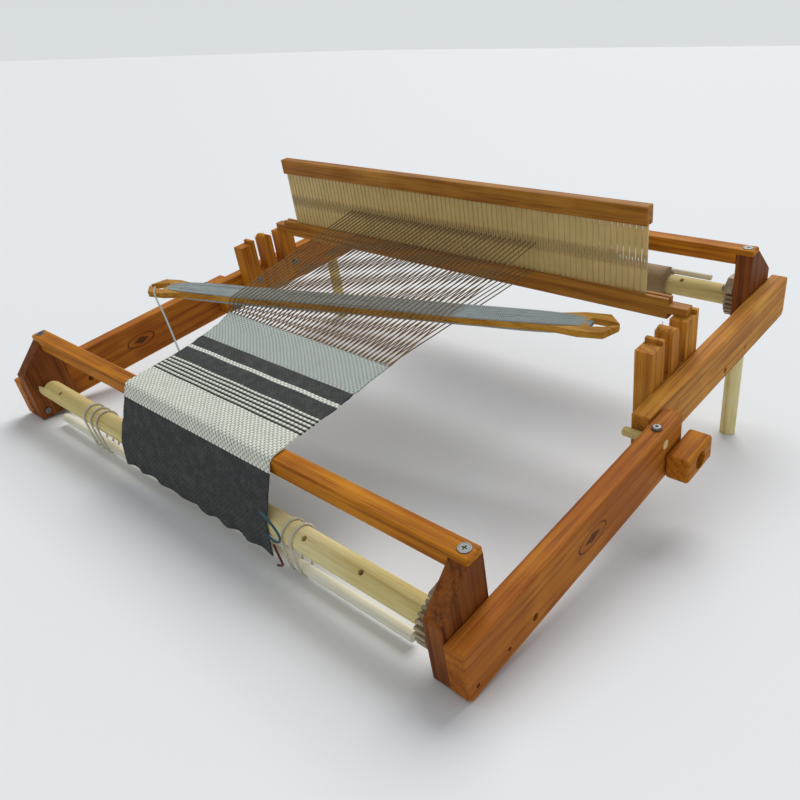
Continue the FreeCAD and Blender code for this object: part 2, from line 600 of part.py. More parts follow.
# Loose yarns: the weft from the shuttle to the cloth's edge, and two ends at the roller
def yarn(points, diameter):
    """A tube of straight runs joined by arcs as large as the two runs allow."""
    points = [V(*p) for p in points]
    edges = []
    start = points[0]
    for before, corner, after in zip(points, points[1:], points[2:]):
        come = (corner - before).normalize()
        go = (after - corner).normalize()
        half = come.getAngle(go) / 2
        cut = ARC_SHARE * min((corner - before).Length, (after - corner).Length)
        radius = cut / math.tan(half)
        inward = (go - come).normalize()
        crown = corner + inward * (radius / math.cos(half) - radius)
        first = corner - come * cut
        last = corner + go * cut
        print("arc radius", round(radius, 1), "of yarn", diameter)
        edges.append(Part.LineSegment(start, first).toShape())
        edges.append(Part.Arc(first, crown, last).toShape())
        start = last
    edges.append(Part.LineSegment(start, points[-1]).toShape())
    path = Part.Wire(edges)
    ring = Part.Wire(Part.makeCircle(diameter / 2, points[0], points[1] - points[0]))
    tube = path.makePipeShell([ring], True, False)
    section = math.pi * diameter ** 2 / 4
    print("yarn length", round(path.Length, 1), "volume share", round(tube.Volume / (section * path.Length), 4))
    return tube


save_front("weft_tail", yarn(WEFT_ROUTE, WEFT_THICK))
save_front("teal_end", yarn(TEAL_ROUTE, END_THICK))
save_front("red_end", yarn(RED_ROUTE, END_THICK))

# The weaving --------------------------------------------------------------------------
def band(points, thick):
    """A strip of even thickness whose middle line goes through the points."""
    upper = []
    lower = []
    for k, (y, z) in enumerate(points):
        before = points[max(k - 1, 0)]
        after = points[min(k + 1, len(points) - 1)]
        long = math.hypot(after[0] - before[0], after[1] - before[1])
        ny = -(after[1] - before[1]) / long
        nz = (after[0] - before[0]) / long
        upper.append((y + ny * thick / 2, z + nz * thick / 2))
        lower.append((y - ny * thick / 2, z - nz * thick / 2))
    return upper + lower[::-1]


BEAM_TOP = CHEEK_TOP + BEAM_RISE
LIE = BEAM_TOP + CLEAR + CLOTH_THICK / 2
FRONT_FACE = FRONT_BEAM_BACK - BEAM / 2 - CLEAR - CLOTH_THICK / 2
ROLLER_FACE = FRONT_ROLLER_BACK - ROLLER_R - CLEAR - CLOTH_THICK / 2
CLOTH_LINE = [
    (ROLLER_FACE - 2.2, FRONT_ROLLER_HIGH - 25), (ROLLER_FACE - 0.4, FRONT_ROLLER_HIGH - 8),
    (ROLLER_FACE - 0.4, FRONT_ROLLER_HIGH + 6), (FRONT_FACE - 0.6, BEAM_TOP - 7), (FRONT_FACE - 0.3, BEAM_TOP - 2.2),
    (FRONT_FACE + 1.0, BEAM_TOP + 0.3), (FRONT_FACE + 3.2, LIE + 0.15), (FRONT_BEAM_BACK + BEAM / 2, LIE + 0.3),
    (FELL_BACK, FELL_HIGH)]
cloth = prism(band(CLOTH_LINE, CLOTH_THICK), FELL_LEFT, CLOTH_RIGHT)
side = [
    V(FELL_LEFT - 1, FELL_BACK - 62, -5), V(CLOTH_LEFT, FELL_BACK - 62, -5), V(CLOTH_LEFT, -5, -5), V(FELL_LEFT - 1, -5, -5)]
cloth = cloth.cut(Part.Face(Part.makePolygon(side + side[:1])).extrude(V(0, 0, 150)))
side = [
    V(FELL_LEFT - 1, FELL_BACK - 61, -5), V(CLOTH_LEFT, FELL_BACK - 63, -5), V(FELL_LEFT - 1, FELL_BACK + 0.5, -5)]
cloth = cloth.cut(Part.Face(Part.makePolygon(side + side[:1])).extrude(V(0, 0, 150)))
if cloth.Volume < 0:
    cloth.reverse()
save_front("woven_cloth", cloth)

# The warp, as three slabs: a shed of two layers from the fell to the heddle, and one
# layer back to the rear beam and down to the roller. They lie in the rear half's axes.
HEDDLE_FRONT = HEDDLE_BACK - BAR_THICK / 2
HEDDLE_REAR = HEDDLE_BACK + BAR_THICK / 2
LOW_REST = HEDDLE_LOW + LOW_BAR_TALL + CLEAR + WARP_THICK / 2
EYE_HIGH = HEDDLE_LOW + LOW_BAR_TALL + SLAT_TALL * 0.46
FELL = front_to_rear(FELL_BACK + 4 * CLEAR, FELL_HIGH)
REAR_LIE = BEAM_TOP + CLEAR + WARP_THICK / 2
rear_beam_edge = REAR_BEAM_BACK + BEAM / 2
upper = [FELL, (FELL[0] + 4, FELL[1] + 14.0), (HEDDLE_FRONT - CLEAR, EYE_HIGH)]
lower = [(FELL[0], FELL[1] - 1.5), (HEDDLE_FRONT - CLEAR, LOW_REST)]
save_rear("warp_upper_layer", prism(band(upper, WARP_THICK), WARP_LEFT, WARP_RIGHT))
save_rear("warp_lower_layer", prism(band(lower, WARP_THICK), WARP_LEFT, WARP_RIGHT))
back_line = [
    (HEDDLE_REAR + CLEAR, LOW_REST + 12), (REAR_BEAM_BACK - 7, REAR_LIE + 0.5), (rear_beam_edge - 1.5, REAR_LIE + 0.5),
    (rear_beam_edge + 1.2, BEAM_TOP - 0.6), (rear_beam_edge + 2.6, BEAM_TOP - 4.0),
    (REAR_ROLLER_BACK + BUNDLE_R * 0.72, REAR_ROLLER_HIGH + BUNDLE_R * 0.72 + 1.5)]
save_rear("warp_back_layer", prism(band(back_line, WARP_THICK), WARP_LEFT + 2, WARP_RIGHT - 2))

# The rigid heddle ----------------------------------------------------------------------
low_top = HEDDLE_LOW + LOW_BAR_TALL
top_low = low_top + SLAT_TALL
BAR_HALF = REAR_IN - BAR_SHORT
TENON_IN = BLOCK_IN - TENON_START
TOP_HALF = DENT * DENTS / 2 + 4
GROOVE_DEEP = 5.0
low_bar = eased(block(-BAR_HALF, BAR_HALF, HEDDLE_FRONT, HEDDLE_REAR, HEDDLE_LOW, low_top), 1.2)
for x0, x1 in ((-BAR_HALF - 1, -TENON_IN), (TENON_IN, BAR_HALF + 1)):
    low_bar = low_bar.cut(block(x0, x1, HEDDLE_FRONT - 1, HEDDLE_REAR + 1, HEDDLE_LOW - 1, HEDDLE_LOW + TENON_RISE))
    low_bar = low_bar.cut(block(
        x0, x1, HEDDLE_FRONT - 1, HEDDLE_REAR + 1, HEDDLE_LOW + TENON_RISE + TENON_TALL, low_top + 1))
groove = block(
    -BAR_HALF - 1, BAR_HALF + 1, HEDDLE_BACK - REED_GROOVE / 2, HEDDLE_BACK + REED_GROOVE / 2,
    low_top - GROOVE_DEEP, low_top + 1)
save_rear("heddle_bottom_bar", low_bar.cut(groove))
top_bar = eased(block(-TOP_HALF, TOP_HALF, HEDDLE_FRONT, HEDDLE_REAR, top_low, top_low + TOP_BAR_TALL), 1.2)
groove = block(
    -TOP_HALF - 1, TOP_HALF + 1, HEDDLE_BACK - REED_GROOVE / 2, HEDDLE_BACK + REED_GROOVE / 2,
    top_low - 1, top_low + GROOVE_DEEP)
save_rear("heddle_top_bar", top_bar.cut(groove))
slats = []
slat = block(
    -SLAT_WIDE / 2, SLAT_WIDE / 2, HEDDLE_BACK - SLAT_THICK / 2, HEDDLE_BACK + SLAT_THICK / 2,
    low_top - GROOVE_DEEP + FIT, top_low + GROOVE_DEEP - FIT)
slat = slat.cut(block(
    -EYE_WIDE / 2, EYE_WIDE / 2, HEDDLE_BACK - SLAT_THICK, HEDDLE_BACK + SLAT_THICK,
    EYE_HIGH - EYE_TALL / 2, EYE_HIGH + EYE_TALL / 2))
for k in range(DENTS + 1):
    copy = slat.copy()
    copy.translate(V(DENT * (k - DENTS / 2), 0, 0))
    slats.append(copy)
save_rear("heddle_slats", *slats)

# The stick shuttle -----------------------------------------------------------------------
half_wide = SHUTTLE_WIDE / 2
profile = [(0, 1.2), (FORK_DEEP * 0.35, half_wide - 0.5), (FORK_DEEP * 1.1, half_wide), (FORK_DEEP * 1.9, half_wide - 5)]
outline = [(s, w) for s, w in profile]
outline += [(SHUTTLE_LONG - s, w) for s, w in reversed(profile)]
outline += [(SHUTTLE_LONG - s, -w) for s, w in profile]
outline += [(s, -w) for s, w in reversed(profile)]
corners = [V(s, w, 0) for s, w in outline]
stick = Part.Face(Part.makePolygon(corners + corners[:1])).extrude(V(0, 0, SHUTTLE_THICK))
for end, way in ((0, 1), (SHUTTLE_LONG, -1)):
    mouth = [
        V(end - way, -0.9, -1), V(end - way, 0.9, -1), V(end + way * FORK_DEEP * 0.4, 6.0, -1),
        V(end + way * FORK_DEEP * 0.8, 8.0, -1), V(end + way * FORK_DEEP, 0, -1),
        V(end + way * FORK_DEEP * 0.8, -8.0, -1), V(end + way * FORK_DEEP * 0.4, -6.0, -1)]
    stick = stick.cut(Part.Face(Part.makePolygon(mouth + mouth[:1])).extrude(V(0, 0, SHUTTLE_THICK + 2)))
wound = block(
    YARN_END, SHUTTLE_LONG - YARN_END, -half_wide + 1.5, half_wide - 1.5,
    SHUTTLE_THICK / 2 - YARN_THICK / 2, SHUTTLE_THICK / 2 + YARN_THICK / 2)
wound = wound.makeFillet(3.0, [e for e in wound.Edges if e.Length > SHUTTLE_LONG / 2])
wound = wound.cut(block(0, SHUTTLE_LONG, -half_wide + 5.4, half_wide - 5.4, 0, SHUTTLE_THICK))
wound = wound.cut(stick)
LAY = FreeCAD.Placement(V(SHUTTLE_FROM[0], SHUTTLE_FROM[1], SHUTTLE_LOW + 1.2), FreeCAD.Rotation(V(0, 0, 1), SHUTTLE_TURN_DEG))
save("stick_shuttle", [stick], STAND.multiply(LAY))
save("shuttle_yarn", [wound], STAND.multiply(LAY))

print("pivot", point(*PIVOT))
print("rollers", point(*FRONT_ROLLER), rear_point(*REAR_ROLLER))
print("pawls", point(*FRONT_PAWL), rear_point(*REAR_PAWL))
print("stand holes", point(*STAND_FRONT), rear_point(*STAND_REAR), "tilt", math.degrees(TILT))
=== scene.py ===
import json
import math

import bpy
import numpy as np
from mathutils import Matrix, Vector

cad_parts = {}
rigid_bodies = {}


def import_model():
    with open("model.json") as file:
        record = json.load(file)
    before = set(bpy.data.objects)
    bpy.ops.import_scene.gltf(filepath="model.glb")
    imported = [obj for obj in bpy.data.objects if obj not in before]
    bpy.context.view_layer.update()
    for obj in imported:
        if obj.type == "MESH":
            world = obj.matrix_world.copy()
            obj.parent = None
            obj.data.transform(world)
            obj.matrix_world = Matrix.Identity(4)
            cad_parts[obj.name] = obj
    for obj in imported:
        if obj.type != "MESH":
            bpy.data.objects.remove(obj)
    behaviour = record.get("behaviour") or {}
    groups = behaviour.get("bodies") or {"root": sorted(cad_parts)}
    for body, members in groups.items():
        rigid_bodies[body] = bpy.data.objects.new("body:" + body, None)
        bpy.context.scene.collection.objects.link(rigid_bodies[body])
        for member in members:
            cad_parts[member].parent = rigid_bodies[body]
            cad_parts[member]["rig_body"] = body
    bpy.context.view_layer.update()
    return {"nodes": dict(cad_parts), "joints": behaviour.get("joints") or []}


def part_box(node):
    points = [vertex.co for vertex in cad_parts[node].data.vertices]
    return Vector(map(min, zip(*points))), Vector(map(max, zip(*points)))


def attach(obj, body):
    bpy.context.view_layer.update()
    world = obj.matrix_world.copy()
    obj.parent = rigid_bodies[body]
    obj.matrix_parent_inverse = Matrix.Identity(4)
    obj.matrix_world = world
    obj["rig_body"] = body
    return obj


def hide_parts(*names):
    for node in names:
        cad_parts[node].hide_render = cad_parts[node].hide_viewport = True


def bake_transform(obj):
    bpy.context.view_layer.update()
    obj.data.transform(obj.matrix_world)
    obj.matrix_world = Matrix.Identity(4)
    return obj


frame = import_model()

joints = {joint["name"]: joint for joint in frame["joints"]}
nodes = frame["nodes"]
dice = np.random.default_rng(4)

# Camera: looks down on the loom from beyond its right front corner.
camera_data = bpy.data.cameras.new("camera")
camera_data.lens = 34.39
camera_data.sensor_width = 36.0
camera_data.shift_y = -0.00375
camera_data.clip_start = 0.01
camera = bpy.data.objects.new("camera", camera_data)
camera.location = (0.5665, -0.5917, 0.4038)
camera.rotation_euler = [math.radians(turn) for turn in (65.005, 1.041, 42.811)]
bpy.context.scene.collection.objects.link(camera)
bpy.context.scene.camera = camera


# ---------------------------------------------------------------------------
# The loom's two halves
# Each half is flat on its own rails, and the two are bolted together at the pivot.
# A place on the loom is told by X, the way along the rails, and the height above them.
PIVOT = np.array(joints["fold"]["pos_m"])
LIFT = joints["heddle_lift"]["axis"]
REAR_LEAN = math.atan2(-LIFT[1], LIFT[2])
HALVES_DIFFER = math.radians(1.26)
FRONT_LEAN = REAR_LEAN + HALVES_DIFFER
PIVOT_ALONG, PIVOT_UP = 0.2991, 0.0136


def on_loom(x, along, up):
    """Turns a place given along the front rails and above them into the frame's X, Y and Z."""
    x, along, up = np.broadcast_arrays(*[np.asarray(part, float) for part in (x, along, up)])
    along = along - PIVOT_ALONG
    up = up - PIVOT_UP
    y = along * math.cos(FRONT_LEAN) - up * math.sin(FRONT_LEAN)
    z = along * math.sin(FRONT_LEAN) + up * math.cos(FRONT_LEAN)
    return np.stack([x, y + PIVOT[1], z + PIVOT[2]], axis=-1)


def from_loom(point):
    """The way along the front rails and the height above them of a point in the frame."""
    y, z = point[1] - PIVOT[1], point[2] - PIVOT[2]
    along = y * math.cos(FRONT_LEAN) + z * math.sin(FRONT_LEAN)
    up = z * math.cos(FRONT_LEAN) - y * math.sin(FRONT_LEAN)
    return along + PIVOT_ALONG, up + PIVOT_UP


# ---------------------------------------------------------------------------
# How materials are written
# A Finish is one material. Its values are joined with Python's own operators.
class Value:
    """A shader value: Python's operators on it add Math nodes to its tree."""

    def __init__(self, finish, socket):
        self.finish = finish
        self.socket = socket

    def join(self, operation, *others, swap=False):
        parts = [self, *others]
        if swap:
            parts.reverse()
        return self.finish.node("ShaderNodeMath", {"operation": operation}, dict(enumerate(parts)))

    def __add__(self, other):
        return self.join("ADD", other)

    __radd__ = __add__

    def __sub__(self, other):
        return self.join("SUBTRACT", other)

    def __rsub__(self, other):
        return self.join("SUBTRACT", other, swap=True)

    def __mul__(self, other):
        return self.join("MULTIPLY", other)

    __rmul__ = __mul__

    def __truediv__(self, other):
        return self.join("DIVIDE", other)

    def __pow__(self, other):
        return self.join("POWER", other)

    def __mod__(self, other):
        return self.join("FLOORED_MODULO", other)

    def above(self, other):
        return self.join("GREATER_THAN", other)

    def below(self, other):
        return self.join("LESS_THAN", other)

    def step(self, low, high):
        """0 below low, 1 above high, smooth between."""
        return self.finish.node(
            "ShaderNodeMapRange", {"interpolation_type": "SMOOTHSTEP"},
            {"Value": self, "From Min": low, "From Max": high})

    def sine(self):
        return self.join("SINE")

    def size(self):
        return self.join("ABSOLUTE")


class Finish:
    """One material: its shader, and the nodes that feed it."""

    def __init__(self, name, **fixed):
        self.material = bpy.data.materials.new(name)
        self.material.use_nodes = True
        self.tree = self.material.node_tree
        self.shader = self.tree.nodes["Principled BSDF"]
        for socket, value in fixed.items():
            self.shader.inputs[socket.replace("_", " ")].default_value = value

    def node(self, kind, settings, inputs, output=0):
        """Adds a node, sets it up, and joins or sets its inputs."""
        node = self.tree.nodes.new(kind)
        for name, value in settings.items():
            setattr(node, name, value)
        for name, value in inputs.items():
            if isinstance(value, Value):
                self.tree.links.new(value.socket, node.inputs[name])
            else:
                node.inputs[name].default_value = value
        return Value(self, node.outputs[output])

    def place(self, turn=(0, 0, 0), scale=(1, 1, 1), shift=(0, 0, 0)):
        """The object's own coordinates, turned and shifted, then stretched."""
        start = self.node("ShaderNodeTexCoord", {}, {}, "Object")
        turned = self.node("ShaderNodeMapping", {}, {"Vector": start, "Rotation": turn, "Location": shift})
        return self.node("ShaderNodeMapping", {}, {"Vector": turned, "Scale": scale})

    def axis(self, vector, name):
        return self.node("ShaderNodeSeparateXYZ", {}, {"Vector": vector}, name)

    def noise(self, vector, scale=1.0, detail=3.0, rough=0.55, twist=0.0):
        return self.node(
            "ShaderNodeTexNoise", {}, {
                "Vector": vector, "Scale": scale, "Detail": detail, "Roughness": rough, "Distortion": twist})

    def mix(self, amount, low, high):
        node = self.tree.nodes.new("ShaderNodeMix")
        node.data_type = "RGBA"
        for name, value in (("Factor", amount), ("A", low), ("B", high)):
            socket = [each for each in node.inputs if each.name == name and each.enabled][0]
            if isinstance(value, Value):
                self.tree.links.new(value.socket, socket)
            else:
                socket.default_value = value if name == "Factor" or len(value) == 4 else (*value, 1.0)
        return Value(self, [each for each in node.outputs if each.enabled][0])

    def feed(self, **links):
        for name, value in links.items():
            self.tree.links.new(value.socket, self.shader.inputs[name.replace("_", " ")])

    def bump(self, height, depth, strength=1.0):
        normal = self.node(
            "ShaderNodeBump", {}, {"Height": height, "Distance": depth, "Strength": strength})
        self.feed(Normal=normal)


# ---------------------------------------------------------------------------
# Loose yarn
# The weft runs from the shuttle's fork to the cloth's left edge. Two short ends, teal and
# dark red, hang by the cloth roller. All are limp wool, two millimetres thick.
def wool(name, dark, light, twist=2600.0):
    """Spun yarn: slanting plies with loose hairs, from a dark and a light colour."""
    finish = Finish(name, Roughness=0.95, Sheen_Weight=0.08, Sheen_Roughness=0.6)
    where = finish.place()
    x = finish.axis(where, "X")
    y = finish.axis(where, "Y")
    z = finish.axis(where, "Z")
    fuzz = finish.noise(where, 900.0, 3.0)
    patch = finish.noise(where, 90.0, 2.0)
    plies = ((x + y * 0.8 + z * 1.3) * twist + fuzz * 5.0).sine() * 0.5 + 0.5
    finish.feed(Base_Color=finish.mix(plies * 0.45 + fuzz * 0.35 + patch * 0.3, dark, light))
    finish.bump(plies * 0.6 + fuzz * 0.6, 0.0004)
    return finish.material


def loose_yarn(name, route, thick, material, body, **facts):
    """One yarn on a smooth curve led by the points of its route, given on the loom."""
    curve = bpy.data.curves.new(name, "CURVE")
    curve.dimensions = "3D"
    spline = curve.splines.new("NURBS")
    spline.points.add(len(route) - 1)
    places = on_loom(*np.array(route, float).T / 1000)
    spline.points.foreach_set("co", np.c_[places, np.ones(len(places))].ravel())
    spline.order_u = 3
    spline.use_endpoint_u = True
    curve.bevel_depth = thick / 2
    curve.bevel_resolution = 3
    curve.resolution_u = 12
    curve.use_fill_caps = True
    curve.materials.append(material)
    piece = bpy.data.objects.new(name, curve)
    bpy.context.scene.collection.objects.link(piece)
    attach(piece, body)
    return piece


YARN_THICK = 0.002
weft_wool = wool("weft_wool", (0.15, 0.18, 0.18), (0.52, 0.57, 0.55))
teal_wool = wool("teal_wool", (0.004, 0.03, 0.05), (0.03, 0.13, 0.19))
red_wool = wool("red_wool", (0.05, 0.004, 0.008), (0.19, 0.02, 0.03))
# Each point of a route is X, the way along and the height, in millimetres.
WEFT_ROUTE = [
    (-244, 164, 115.8), (-236, 156, 115.8), (-217, 148, 111.8), (-190, 137.5, 106.4), (-160, 124.5, 102.8),
    (-132, 112, 99.9), (-108.5, 101.5, 98.6)]
TEAL_ROUTE = [
    (126, 10, 60), (134, 6.5, 66), (145, 4.5, 64), (152, 5, 54), (149, 6, 43), (140, 5.5, 38), (130, 6, 42)]
RED_ROUTE = [(131, 9, 28), (138, 6, 25), (143, 5, 17), (139, 6.5, 9.5), (132, 6, 7)]
weft = loose_yarn(
    "loose_weft", WEFT_ROUTE, YARN_THICK, weft_wool, "front_frame", length=0.151, far_end="object", lay="hanging")
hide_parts("weft_tail")
teal = loose_yarn(
    "loose_teal", TEAL_ROUTE, YARN_THICK, teal_wool, "front_frame", length=0.064, far_end="bare", lay="hanging")
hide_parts("teal_end")
red = loose_yarn(
    "loose_red", RED_ROUTE, YARN_THICK, red_wool, "front_frame", length=0.0325, far_end="bare", lay="hanging")
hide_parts("red_end")


# ---------------------------------------------------------------------------
# Boards
# Rails, cheeks, beams, heddle blocks and knobs are oiled cherry. The grain of each runs
# along its length, and every board has its own figure.
LEANS = {"front_frame": FRONT_LEAN, "rear_frame": REAR_LEAN}
RING_STRETCH, FIBRE_STRETCH = 0.07, 0.02


def wood(name, way, dark, middle, light, seed, lean=0.0, rings=1.0, shine=0.42, fleck=0.0):
    """Planed wood. Growth rings are a sine of the way across the board, bent by long noise;
    fibres are noise stretched fifty times along the grain."""
    finish = Finish(name, Specular_IOR_Level=0.12, IOR=1.45)
    here = finish.place(turn=(-lean, 0, 0), shift=(seed * 0.37, seed * 0.53, seed * 0.29))
    slow, fast = (
        finish.node(
            "ShaderNodeMapping", {},
            {"Vector": here, "Scale": tuple(stretch if letter == way else 1.0 for letter in "xyz")})
        for stretch in (RING_STRETCH, FIBRE_STRETCH))
    bend = finish.noise(slow, 38.0, 2.0, 0.5)
    x = finish.axis(here, "X")
    y = finish.axis(here, "Y")
    z = finish.axis(here, "Z")
    across = {"x": y * 0.9 + z, "y": x * 0.8 + z, "z": x + y * 0.8}[way]
    growth = (across * 520.0 * rings + bend * 26.0).sine() * 0.5 + 0.5
    fibre = finish.noise(fast, 1500.0, 3.0, 0.65)
    streak = finish.noise(fast, 420.0, 2.0, 0.5)
    cloud = finish.noise(here, 14.0, 2.0)
    tone = growth * 0.12 + streak * 0.44 + fibre * 0.44
    colour = finish.mix(tone.step(0.22, 0.56), dark, middle)
    colour = finish.mix((tone * 0.6 + cloud * 0.5).step(0.46, 0.74), colour, light)
    if fleck:
        dashes = finish.noise(fast, 2600.0, 1.0).step(0.66, 0.74)
        colour = finish.mix(dashes * fleck, colour, tuple(part * 0.35 for part in dark))
    finish.feed(Base_Color=colour, Roughness=fibre * 0.3 + shine)
    finish.bump(fibre * 0.7 + growth * 0.3, 0.00025)
    return finish


CHERRY = ((0.19, 0.045, 0.004), (0.41, 0.130, 0.008), (0.60, 0.235, 0.014))
RED_CHERRY = ((0.17, 0.040, 0.007), (0.37, 0.108, 0.012), (0.54, 0.20, 0.022))
TAN_CHERRY = ((0.22, 0.066, 0.012), (0.48, 0.185, 0.024), (0.68, 0.33, 0.045))
# The cheeks' deep brown tone is partly a darker board and partly painted shade of their unlit front faces.
SHADED_DARK_CHERRY = ((0.06, 0.015, 0.005), (0.17, 0.048, 0.011), (0.30, 0.095, 0.018))


def paint(material, *names):
    """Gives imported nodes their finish."""
    for name in names:
        mesh = nodes[name].data
        mesh.materials.clear()
        mesh.materials.append(material)
        mesh.polygons.foreach_set("material_index", np.zeros(len(mesh.polygons), np.int32))


RAIL_SIDE = 0.34
MARK_AT = (0.158, 0.026)
RING_HALF, LOZENGE_HALF = (0.021, 0.0085), (0.013, 0.0048)
BURNT = (0.05, 0.018, 0.008)


def stamp(finish, side, along, up):
    """A burnt-in mark on a rail: a plain ring round a lozenge, on the board's face."""
    centre = on_loom(side, along, up)
    where = finish.place()
    y = finish.axis(where, "Y") - float(centre[1])
    z = finish.axis(where, "Z") - float(centre[2])
    run = y * math.cos(FRONT_LEAN) + z * math.sin(FRONT_LEAN)
    rise = z * math.cos(FRONT_LEAN) - y * math.sin(FRONT_LEAN)
    oval = ((run / RING_HALF[0]) ** 2.0 + (rise / RING_HALF[1]) ** 2.0) ** 0.5
    ring = 1.0 - ((oval - 0.93).size()).step(0.03, 0.08)
    lozenge = 1.0 - ((run / LOZENGE_HALF[0]).size() + (rise / LOZENGE_HALF[1]).size()).step(0.86, 0.98)
    return (ring + lozenge).join("MINIMUM", 1.0)


BOARDS = (
    ("front_rail_right", "y", RED_CHERRY, 1), ("front_rail_left", "y", RED_CHERRY, 2),
    ("rear_rail_right", "y", TAN_CHERRY, 3), ("rear_rail_left", "y", CHERRY, 4),
    ("front_cheek_right", "z", SHADED_DARK_CHERRY, 5), ("front_cheek_left", "z", SHADED_DARK_CHERRY, 6),
    ("rear_cheek_right", "z", SHADED_DARK_CHERRY, 7), ("rear_cheek_left", "z", CHERRY, 8),
    ("front_beam", "x", CHERRY, 9), ("rear_beam", "x", CHERRY, 10),
    ("heddle_block_right", "z", TAN_CHERRY, 11), ("heddle_block_left", "z", CHERRY, 12),
    ("knob_right", "y", CHERRY, 13), ("knob_left", "y", CHERRY, 14))
for name, way, tones, seed in BOARDS:
    lean = LEANS.get(nodes[name]["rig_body"], FRONT_LEAN) if way != "x" else 0.0
    finish = wood(name + "_cherry", way, *tones, seed, lean)
    if name.startswith("front_rail"):
        side = RAIL_SIDE if name.endswith("right") else -RAIL_SIDE
        mark = stamp(finish, side, *MARK_AT)
        grain = finish.shader.inputs["Base Color"].links[0].from_socket
        finish.feed(Base_Color=finish.mix(mark * 0.8, Value(finish, grain), BURNT))
    paint(finish.material, name)


# ---------------------------------------------------------------------------
# Dowels
# Rollers, legs, stop pins and tie rods are pale hardwood turned to size, left bare, with
# short dark flecks in the grain.
MAPLE = ((0.50, 0.37, 0.12), (0.68, 0.55, 0.22), (0.78, 0.68, 0.36))
PALE = ((0.68, 0.64, 0.47), (0.82, 0.79, 0.64), (0.90, 0.88, 0.76))
roller_wood = wood("roller_maple", "x", *MAPLE, 15, rings=0.7, shine=0.45, fleck=0.35)
paint(roller_wood.material, "cloth_roller", "warp_roller", "stop_pins")
leg_wood = wood("leg_maple", "z", *MAPLE, 16, REAR_LEAN, rings=0.6, shine=0.45, fleck=0.25)
paint(leg_wood.material, "leg_right", "leg_left")
rod_wood = wood("rod_birch", "x", *PALE, 17, rings=0.4, shine=0.5)
paint(rod_wood.material, "front_tie_rod", "rear_tie_rod")


# ---------------------------------------------------------------------------
# Metal
# Zinc-plated screws, cup washers, carriage bolts and nuts, with a fine dull mottle.
steel = Finish("zinc_steel", Metallic=1.0)
where = steel.place()
dull = steel.noise(where, 700.0, 3.0)
steel.feed(
    Base_Color=steel.mix(dull, (0.08, 0.08, 0.077), (0.26, 0.255, 0.24)), Roughness=dull * 0.3 + 0.28)
steel.bump(dull, 0.00005)
for name in nodes:
    if "screw" in name or "bolt" in name or "nut" in name or name.endswith("roller_pins"):
        paint(steel.material, name)


# ---------------------------------------------------------------------------
# Gears and pawls
# Moulded in grey-tan nylon, slightly mottled, with a satin skin.
nylon = Finish("nylon", IOR=1.5)
where = nylon.place()
mottle = nylon.noise(where, 160.0, 3.0)
grit = nylon.noise(where, 2200.0, 2.0)
nylon.feed(
    Base_Color=nylon.mix(mottle.step(0.3, 0.7), (0.27, 0.21, 0.12), (0.43, 0.34, 0.21)),
    Roughness=grit * 0.25 + 0.38)
nylon.bump(grit, 0.00006)
paint(nylon.material, "cloth_gear", "warp_gear", "cloth_pawl", "warp_pawl")


# ---------------------------------------------------------------------------
# The rigid heddle
# Two honey-coloured bars with a row of cream nylon slats let into their grooves. Each slat has an eye, and at
# the height of the eyes the row is darkened with painted shade of the eye holes.
HONEY = ((0.16, 0.050, 0.007), (0.35, 0.135, 0.018), (0.50, 0.23, 0.038))
bar_wood = wood("heddle_honey", "x", *HONEY, 18, rings=0.8, shine=0.3)
paint(bar_wood.material, "heddle_bottom_bar", "heddle_top_bar")
EYES_FROM, EYES_TO, EYES_FADE = 0.131, 0.141, 0.005
slat = Finish("slat_nylon", Roughness=0.42, Subsurface_Weight=0.08)
where = slat.place()
y_here = slat.axis(where, "Y") - float(PIVOT[1])
z_here = slat.axis(where, "Z") - float(PIVOT[2])
height = z_here * math.cos(FRONT_LEAN) - y_here * math.sin(FRONT_LEAN) + PIVOT_UP
# Painted shade: a band at the height of the eyes, darkened towards deep brown.
eye_shade = height.step(EYES_FROM - EYES_FADE, EYES_FROM) * (1.0 - height.step(EYES_TO, EYES_TO + EYES_FADE))
cloud = slat.noise(where, 60.0, 2.0)
cream = slat.mix(cloud, (0.42, 0.32, 0.11), (0.58, 0.46, 0.19))
slat.feed(Base_Color=slat.mix(eye_shade * 0.45, cream, (0.20, 0.14, 0.05)))
slat.bump(slat.noise(where, 1200.0, 2.0), 0.00005)
paint(slat.material, "heddle_slats")


# ---------------------------------------------------------------------------
# The stick shuttle
# A flat varnished stick with a forked mouth at each end.
VARNISHED = ((0.24, 0.09, 0.010), (0.43, 0.19, 0.020), (0.60, 0.31, 0.045))
stick_wood = wood("shuttle_varnish", "x", *VARNISHED, 19, rings=0.6, shine=0.2)
paint(stick_wood.material, "stick_shuttle")


# ---------------------------------------------------------------------------
# Yarn wound on the shuttle
# Grey-blue wool, wound end to end through both forks: two loose layers of strands lie along
# each face and draw in towards the mouths.
def make_mesh(name, points, faces, material, smooth=True):
    """One mesh object from arrays of points and four-cornered faces."""
    mesh = bpy.data.meshes.new(name)
    mesh.vertices.add(len(points))
    mesh.vertices.foreach_set("co", points.astype(np.float32).ravel())
    mesh.loops.add(faces.size)
    mesh.polygons.add(len(faces))
    mesh.loops.foreach_set("vertex_index", faces.astype(np.int32).ravel())
    mesh.polygons.foreach_set("loop_start", np.arange(0, faces.size, faces.shape[1], dtype=np.int32))
    mesh.polygons.foreach_set("use_smooth", np.full(len(faces), smooth))
    mesh.update(calc_edges=True)
    mesh.materials.append(material)
    piece = bpy.data.objects.new(name, mesh)
    bpy.context.scene.collection.objects.link(piece)
    return piece


